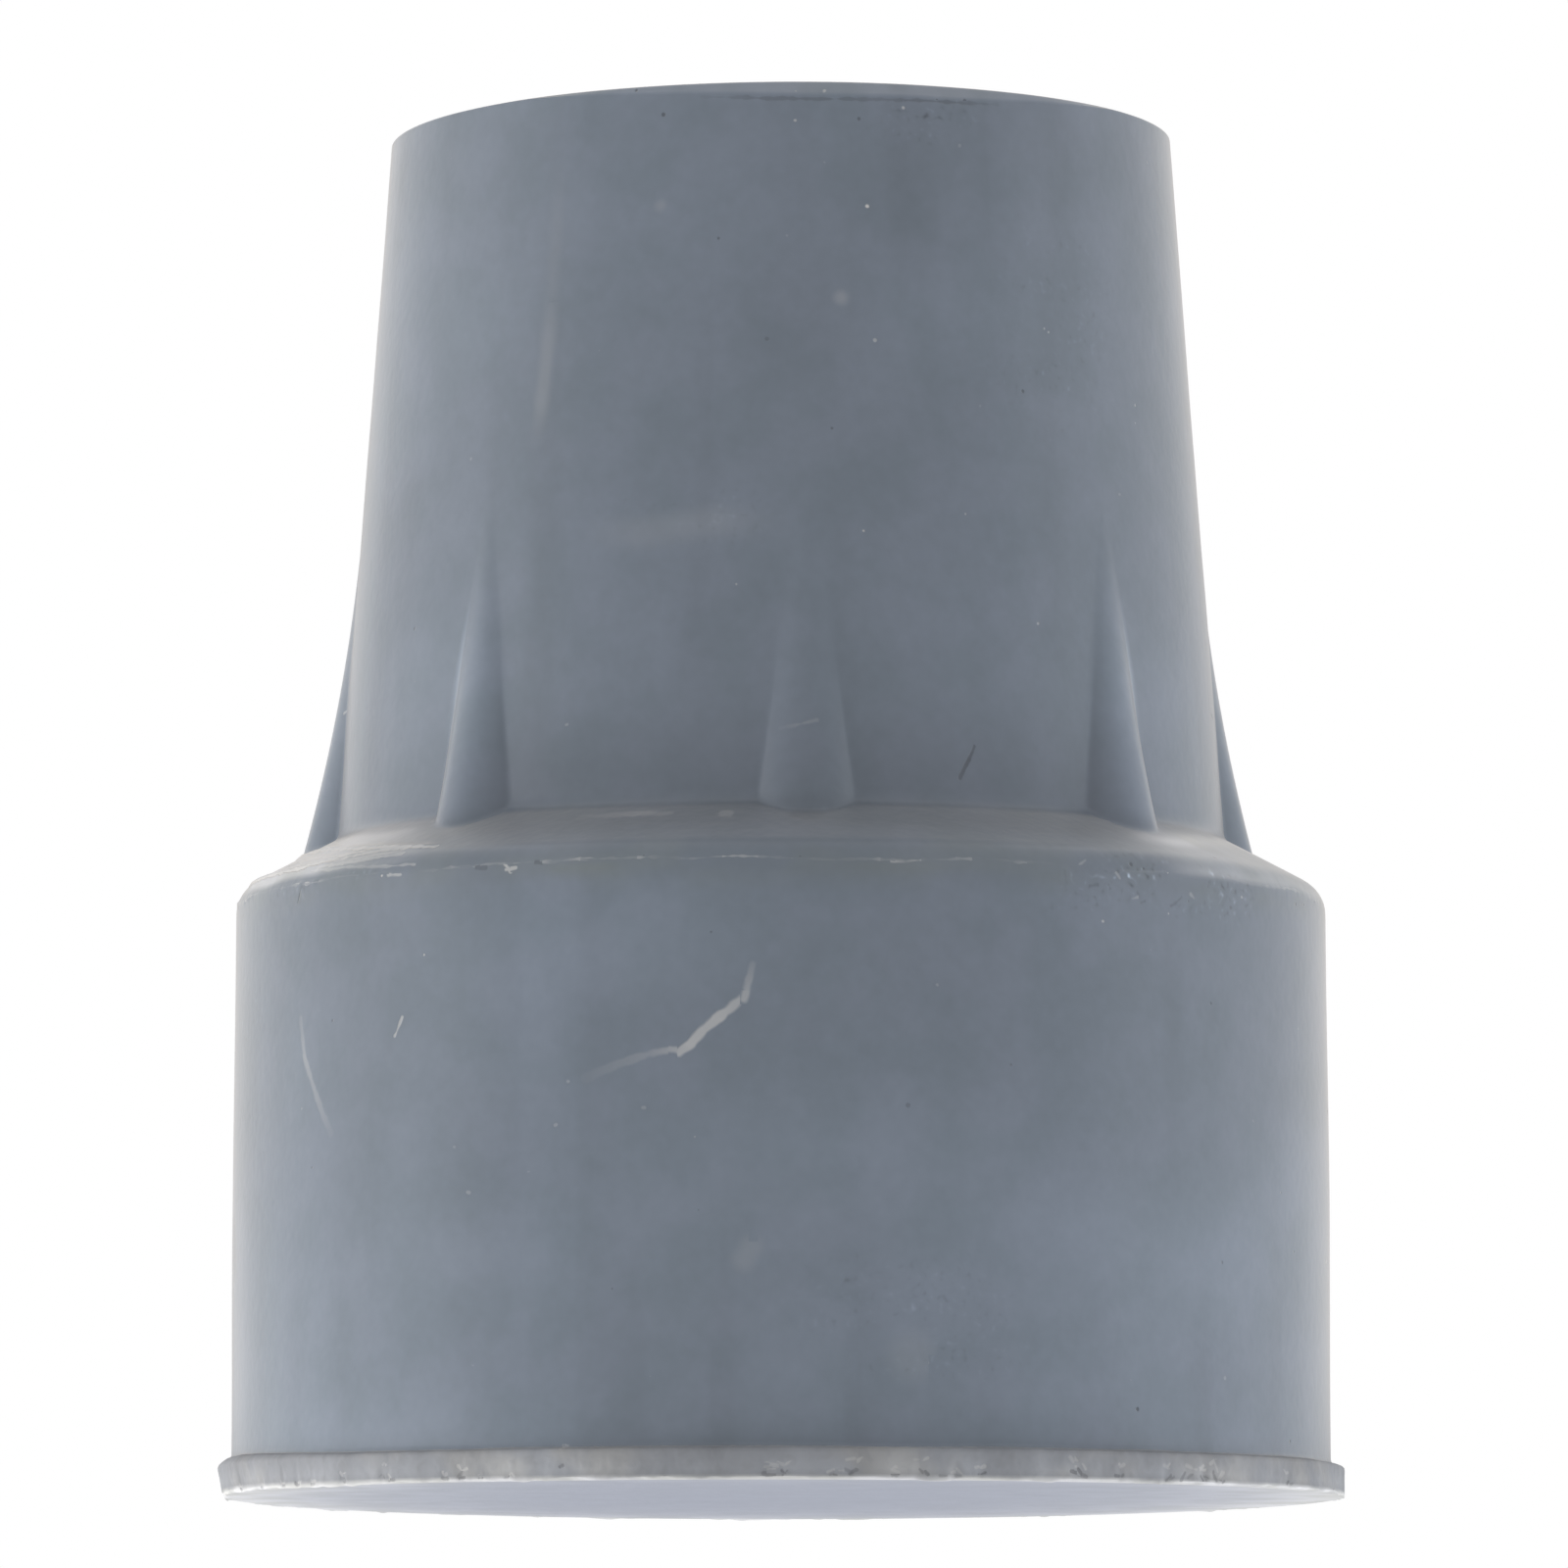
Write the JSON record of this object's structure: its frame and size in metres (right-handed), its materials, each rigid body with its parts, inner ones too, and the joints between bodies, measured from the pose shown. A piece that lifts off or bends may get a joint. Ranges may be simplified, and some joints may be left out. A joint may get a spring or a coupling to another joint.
{
  "type": "rubber cane tip",
  "caption": "Moulded rubber ferrule that pushes onto the end of a walking cane: flat-soled foot, sloping shoulder and ribbed tapered sleeve round a blind socket.",
  "frame": {"origin": "centre of the flat sole, at the surface that the tip stands on", "axes": "+Z along the axis of the socket, from the sole up to the mouth; one of the eight ribs points along -Y"},
  "size_m": [0.0382, 0.0382, 0.0463],
  "materials": {
    "grey_rubber": "matt moulded rubber, blue-grey, lightly scuffed"
  },
  "bodies": {
    "root": {"tip": "grey_rubber"}
  },
  "joints": []
}
